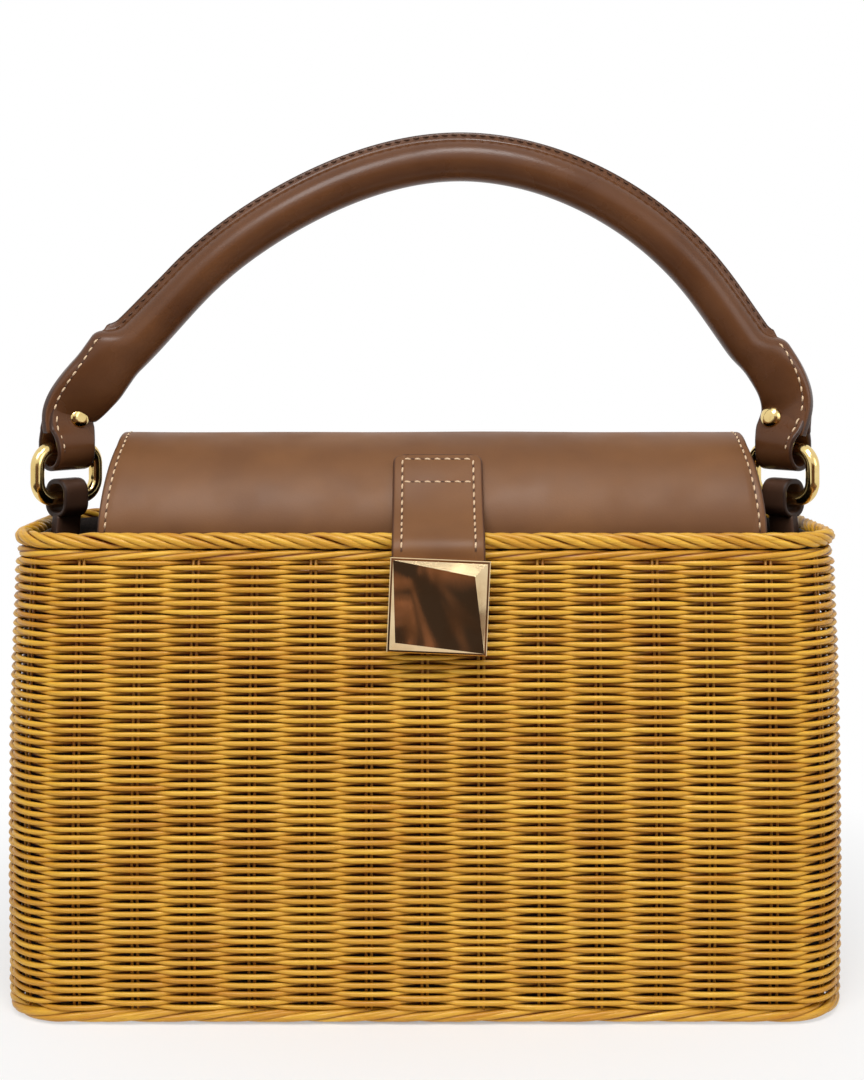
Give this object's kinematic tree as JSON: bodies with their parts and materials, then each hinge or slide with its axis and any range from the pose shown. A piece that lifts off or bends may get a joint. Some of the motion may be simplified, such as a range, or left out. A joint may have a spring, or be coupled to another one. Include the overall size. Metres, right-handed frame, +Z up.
{
  "type": "wicker handbag",
  "caption": "Woven wicker box handbag with an arched leather flap, a closing strap with a metal pyramid clasp, and a rolled leather top handle hung on metal rings.",
  "frame": {"origin": "middle of the flat underside of the woven base", "axes": "+Z up, -Y towards the front with the clasp, +X towards the right seen from the front"},
  "size_m": [0.2906, 0.115, 0.3074],
  "materials": {
    "wicker": "satin varnish over golden yellow cane",
    "leather": "smooth brown leather with a soft sheen",
    "lining": "dark plain weave cloth",
    "gold": "polished pale gold",
    "core": "undyed cotton filler cord"
  },
  "bodies": {
    "bag": {"basket_wall": "wicker", "basket_base": "wicker", "rim_border": "wicker", "rim_wale": "wicker", "foot_border": "wicker", "lining": "lining", "flap_back": "leather", "snap_socket": "gold", "left_chape": "leather", "right_chape": "leather"},
    "flap": {"flap_front": "leather", "closure_strap": "leather", "clasp_plate": "gold", "snap_stud": "gold"},
    "left_ring": {"left_ring": "gold"},
    "right_ring": {"right_ring": "gold"},
    "handle": {"handle": "leather", "handle_core": "core", "left_rivet": "gold", "right_rivet": "gold"}
  },
  "joints": [
    {"name": "flap_lift", "type": "hinge", "parent": "bag", "child": "flap", "pos_m": [0, -0.01456, 0.19312], "axis": [-1, 0, 0], "range_deg": [0, 110]},
    {"name": "left_ring_swing", "type": "hinge", "parent": "bag", "child": "left_ring", "pos_m": [-0.132, 0, 0.1729], "axis": [-1, 0, 0], "range_deg": [-5, 18]},
    {"name": "right_ring_swing", "type": "hinge", "parent": "bag", "child": "right_ring", "pos_m": [0.132, 0, 0.1729], "axis": [-1, 0, 0], "range_deg": [-5, 18]},
    {"name": "handle_swing", "type": "hinge", "parent": "left_ring", "child": "handle", "pos_m": [-0.132, 0, 0.1911], "axis": [-1, 0, 0], "range_deg": [-5, 20]}
  ],
  "couplings": [
    {"joint": "right_ring_swing", "follows": "left_ring_swing", "ratio": 1}
  ]
}
